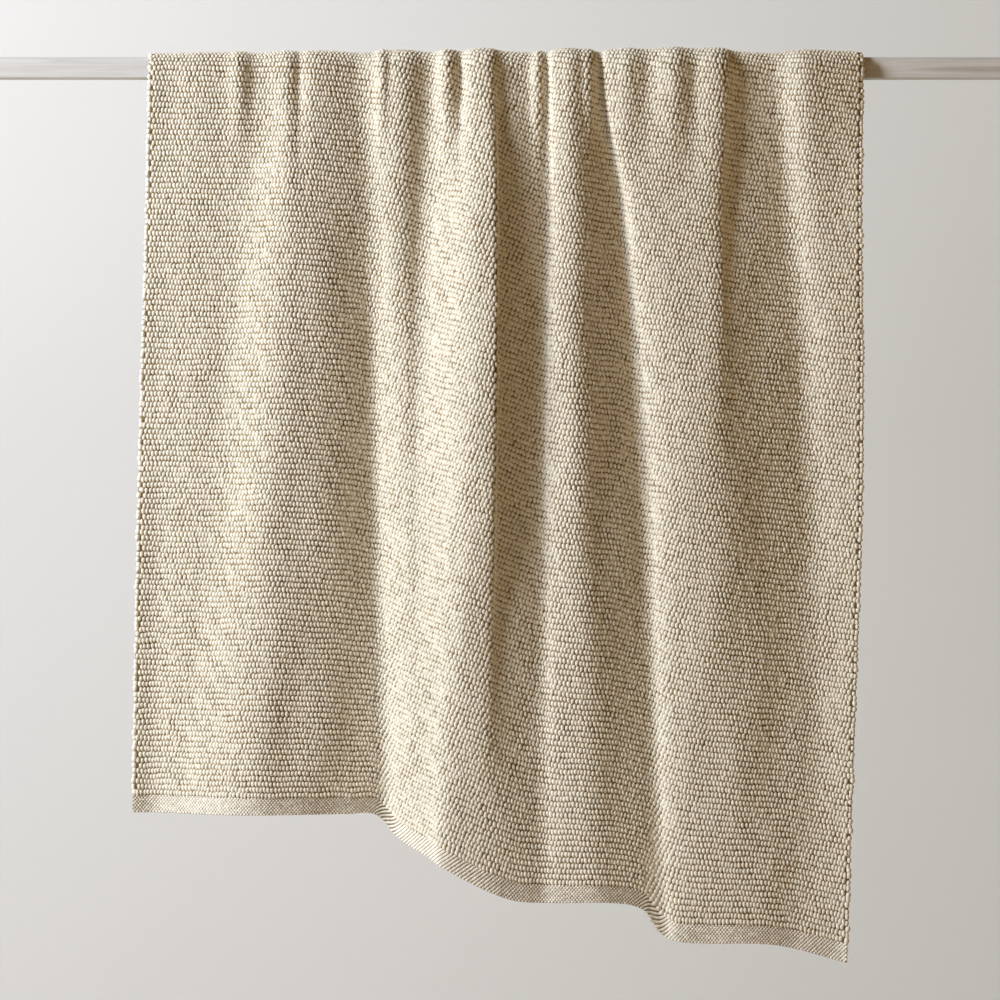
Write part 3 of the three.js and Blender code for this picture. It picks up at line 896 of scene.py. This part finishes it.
# %% Outline across the rod
EDGE_ROUND = 1.6 * MM
EDGE_POINTS = 6
SIDE_POINTS = 6
CROWN_POINTS = 9
ABOVE_FOOT = 0.4 * MM
BELOW_CROWN = 0.6 * MM
CROWN_START = 0.03
half_depth = (rod_high[1] - rod_low[1]) / 2
crown_z = math.sqrt(ROD_RADIUS ** 2 - half_depth ** 2)
quarter = np.linspace(0, math.pi / 2, EDGE_POINTS)
foot_y = half_depth - EDGE_ROUND + EDGE_ROUND * np.sin(quarter)
foot_z = -ROD_RADIUS + EDGE_ROUND - EDGE_ROUND * np.cos(quarter)
side_y = np.full(SIDE_POINTS, half_depth)
side_z = np.linspace(foot_z[-1] + ABOVE_FOOT, crown_z - BELOW_CROWN, SIDE_POINTS)
crown_turn = np.linspace(math.asin(half_depth / ROD_RADIUS) - CROWN_START, 0, CROWN_POINTS)
half_y = np.concatenate([[0], foot_y, side_y, ROD_RADIUS * np.sin(crown_turn)])
half_z = np.concatenate([[-ROD_RADIUS], foot_z, side_z, ROD_RADIUS * np.cos(crown_turn)])
outline_y = np.concatenate([half_y, -half_y[-2:0:-1]])
outline_z = np.concatenate([half_z, half_z[-2:0:-1]])
print("outline:", len(outline_y), "points")

# %% Rings along the rod
END_ROUND = 2 * MM
END_RINGS = 5
INNER_RINGS = 40
bend = np.linspace(0, math.pi / 2, END_RINGS)
left_x = END_ROUND * (1 - np.cos(bend))
inner_x = np.linspace(0, ROD_LENGTH, INNER_RINGS + 2)[1:-1]
rod_x = np.concatenate([left_x, inner_x, ROD_LENGTH - left_x[::-1]])
end_inset = END_ROUND * (1 - np.sin(bend))
inset = np.concatenate([end_inset, np.zeros(INNER_RINGS), end_inset[::-1]])
rings = np.stack([np.broadcast_to(rod_x[:, None], (len(rod_x), len(outline_y))),
                  (1 - inset / half_depth)[:, None] * outline_y,
                  (1 - inset / ROD_RADIUS)[:, None] * outline_z], axis=-1)
ring_index = np.arange(rings.shape[0] * rings.shape[1]).reshape(rings.shape[:2])
ahead = np.roll(ring_index, -1, axis=1)
sides = np.stack([ring_index[1:], ahead[1:], ahead[:-1], ring_index[:-1]], axis=-1).reshape(-1, 4)
ends = [ring_index[0].tolist(), ring_index[-1, ::-1].tolist()]
rod_mesh = bpy.data.meshes.new("wood_rod")
rod_mesh.from_pydata(rings.reshape(-1, 3).tolist(), [], sides.tolist() + ends)
rod_mesh.shade_smooth()
rod_mesh.materials.append(washed_wood)
wood_rod = new_piece("wood_rod", rod_mesh)
print("rod:", len(rod_mesh.polygons), "faces")

# %% [markdown]
# ## Hang every piece on the body
# Every piece rides on the one body, and the solids that the pieces stand for are hidden, so that the
# pieces replace them.

# %% Pieces of the object
yarn_pieces = [*pebble_bands, pebbles_inside, *hem_bands, *side_loops]
for piece in [ground_cloth, *yarn_pieces]:
    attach(piece, "root")
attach(wood_rod, "root")
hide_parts("throw")
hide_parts("rod")
triangles = 0
for piece in [ground_cloth, wood_rod, *yarn_pieces]:
    piece.data.calc_loop_triangles()
    triangles += len(piece.data.loop_triangles)
print("triangles in all:", triangles)

# %% [markdown]
# ## Studio
# The throw hangs in front of a plain pale sweep: a wall that runs down into the floor in a curve, so that
# no corner shows. Its paint is warmer on the floor. On the wall it holds painted light: it is cooler and
# paler towards the right, which evens out the lamps, and paler upwards, like light from above. From
# behind, its material is clear, so that the camera can look through it.

# %% Paint of the stage
FLOOR_LEVEL = -2.6
# Painted light: the wall is paler and cooler towards the right, which evens out the lamps.
LEFT_PAINT = (0.715, 0.702, 0.685, 1)
RIGHT_PAINT = (0.80, 0.825, 0.82, 1)
FLOOR_PAINT = (0.76, 0.68, 0.56, 1)
stage_paint = bpy.data.materials.new("stage_paint")
stage_paint.use_nodes = True
tree = stage_paint.node_tree
shader = tree.nodes["Principled BSDF"]
shader.inputs["Roughness"].default_value = 0.95
place = add(tree, "ShaderNodeTexCoord")
where = add(tree, "ShaderNodeSeparateXYZ")
from_left = add(tree, "ShaderNodeMapRange")
from_left.inputs["From Min"].default_value = -0.2
from_left.inputs["From Max"].default_value = 1.7
wall_paint = add(tree, "ShaderNodeMix", data_type="RGBA")
wall_paint.inputs["A"].default_value = LEFT_PAINT
wall_paint.inputs["B"].default_value = RIGHT_PAINT
wall_part = add(tree, "ShaderNodeMapRange")
wall_part.inputs["From Min"].default_value = FLOOR_LEVEL + 0.1
wall_part.inputs["From Max"].default_value = FLOOR_LEVEL + 1.0
floor_or_wall = add(tree, "ShaderNodeMix", data_type="RGBA")
floor_or_wall.inputs["A"].default_value = FLOOR_PAINT
# Painted light: the paint grows paler upwards, like light from above.
upwards = add(tree, "ShaderNodeMapRange")
upwards.inputs["From Min"].default_value = -0.5
upwards.inputs["From Max"].default_value = 0.3
upwards.inputs["To Min"].default_value = 1.0
upwards.inputs["To Max"].default_value = 1.1
paler = add(tree, "ShaderNodeVectorMath", operation="SCALE")
clear = add(tree, "ShaderNodeBsdfTransparent")
side_seen = add(tree, "ShaderNodeNewGeometry")
one_sided = add(tree, "ShaderNodeMixShader")
for a, b in [
    (place.outputs["Object"], where.inputs["Vector"]),
    (where.outputs["X"], from_left.inputs["Value"]),
    (from_left.outputs["Result"], wall_paint.inputs["Factor"]),
    (where.outputs["Z"], wall_part.inputs["Value"]),
    (wall_part.outputs["Result"], floor_or_wall.inputs["Factor"]),
    (wall_paint.outputs["Result"], floor_or_wall.inputs["B"]),
    (where.outputs["Z"], upwards.inputs["Value"]),
    (floor_or_wall.outputs["Result"], paler.inputs["Vector"]),
    (upwards.outputs["Result"], paler.inputs["Scale"]),
    (paler.outputs["Vector"], shader.inputs["Base Color"]),
    (side_seen.outputs["Backfacing"], one_sided.inputs["Fac"]),
    (shader.outputs["BSDF"], one_sided.inputs[1]),
    (clear.outputs["BSDF"], one_sided.inputs[2]),
    (one_sided.outputs["Shader"], tree.nodes["Material Output"].inputs["Surface"]),
]:
    tree.links.new(a, b)
print("paint:", stage_paint.name)


# %% Floor and sweep
def strip(name, profile, half_width):
    """A strip along X through the (y, z) places, seen from above and from the front."""
    points = [(x + ROD_LENGTH / 2, y, z) for y, z in profile for x in (-half_width, half_width)]
    faces = [(2 * k, 2 * k + 1, 2 * k + 3, 2 * k + 2) for k in range(len(profile) - 1)]
    mesh = bpy.data.meshes.new(name)
    mesh.from_pydata(points, [], faces)
    mesh.shade_smooth()
    mesh.materials.append(stage_paint)
    return new_piece(name, mesh)


HALF_STAGE = 5
STAGE_FRONT = -5
FLOOR_BACK = 6
SWEEP_Y = 1.1
SWEEP_TOP = 3.5
SWEEP_ROUND = 0.5
UNDER_SWEEP = 0.002
round_y = SWEEP_Y - SWEEP_ROUND
round_z = FLOOR_LEVEL + SWEEP_ROUND
foot = [(round_y + SWEEP_ROUND * math.sin(t), round_z - SWEEP_ROUND * math.cos(t))
        for t in np.linspace(0, math.pi / 2, 9)]
floor_z = FLOOR_LEVEL - UNDER_SWEEP
sweep = strip("sweep", [(STAGE_FRONT, FLOOR_LEVEL), *foot, (SWEEP_Y, SWEEP_TOP)], HALF_STAGE)
floor = strip("floor", [(STAGE_FRONT, floor_z), (FLOOR_BACK, floor_z)], HALF_STAGE)
print("stage:", floor.name, sweep.name)

# %% [markdown]
# ## Light
# One large soft lamp stands at the left, so the left faces of the folds are bright and the right ones
# fall into shade. A weak warm lamp at the right and a faint warm glow all round fill the shade, as light
# does that comes back from a room. The camera sees a pale room in place of that glow.

# %% Lamps
def soft_lamp(name, place, aim, wide, high, watts, colour):
    data = bpy.data.lights.new(name, "AREA")
    data.shape = "RECTANGLE"
    data.size = wide
    data.size_y = high
    data.energy = watts
    data.color = colour
    lamp = bpy.data.objects.new(name, data)
    lamp.location = place
    x, y, z = np.subtract(aim, place)
    lamp.rotation_euler = (math.atan2(math.hypot(x, y), -z), 0, math.atan2(-x, y))
    bpy.context.scene.collection.objects.link(lamp)
    return lamp


MIDDLE = (ROD_LENGTH / 2, 0, -0.6)
key_lamp = soft_lamp("key_lamp", place=(-3.3, -1.85, 1.15), aim=MIDDLE, wide=1.2, high=1.8,
                     watts=328, colour=(0.88, 0.925, 1.0))
fill_lamp = soft_lamp("fill_lamp", place=(4.0, -2.2, 0.9), aim=MIDDLE, wide=1.2, high=1.2,
                      watts=17, colour=(1, 0.59, 0.16))
print("lamps:", key_lamp.name, fill_lamp.name)

# %% World
world = bpy.data.worlds.new("studio")
world.use_nodes = True
tree = world.node_tree
glow = tree.nodes["Background"]
glow.inputs["Color"].default_value = (1, 0.64, 0.25, 1)
glow.inputs["Strength"].default_value = 0.06
pale_room = add(tree, "ShaderNodeBackground")
pale_room.inputs["Color"].default_value = (0.62, 0.60, 0.57, 1)
ray = add(tree, "ShaderNodeLightPath")
glow_or_room = add(tree, "ShaderNodeMixShader")
for a, b in [
    (ray.outputs["Is Camera Ray"], glow_or_room.inputs["Fac"]),
    (glow.outputs["Background"], glow_or_room.inputs[1]),
    (pale_room.outputs["Background"], glow_or_room.inputs[2]),
    (glow_or_room.outputs["Shader"], tree.nodes["World Output"].inputs["Surface"]),
]:
    tree.links.new(a, b)
bpy.context.scene.world = world
bpy.context.scene.view_settings.view_transform = "Standard"
print("world:", world.name)

# %% [markdown]
# ## Camera
# The camera stands straight in front, level with the middle of the throw, with a long lens, so that the
# sides of the cloth hardly lean. Depth of field is off.

# %% Camera
CAMERA_AWAY = 4.5
CAMERA_LEVEL = -0.632
SENSOR_WIDTH = 36
LENS = 110.7
camera_data = bpy.data.cameras.new("front_camera")
camera_data.sensor_width = SENSOR_WIDTH
camera_data.lens = LENS
camera = bpy.data.objects.new("front_camera", camera_data)
camera.location = (ROD_LENGTH / 2, -CAMERA_AWAY, CAMERA_LEVEL)
camera.rotation_euler = (math.pi / 2, 0, 0)
bpy.context.scene.collection.objects.link(camera)
bpy.context.scene.camera = camera
print("camera:", camera.name, "lens", LENS, "mm")
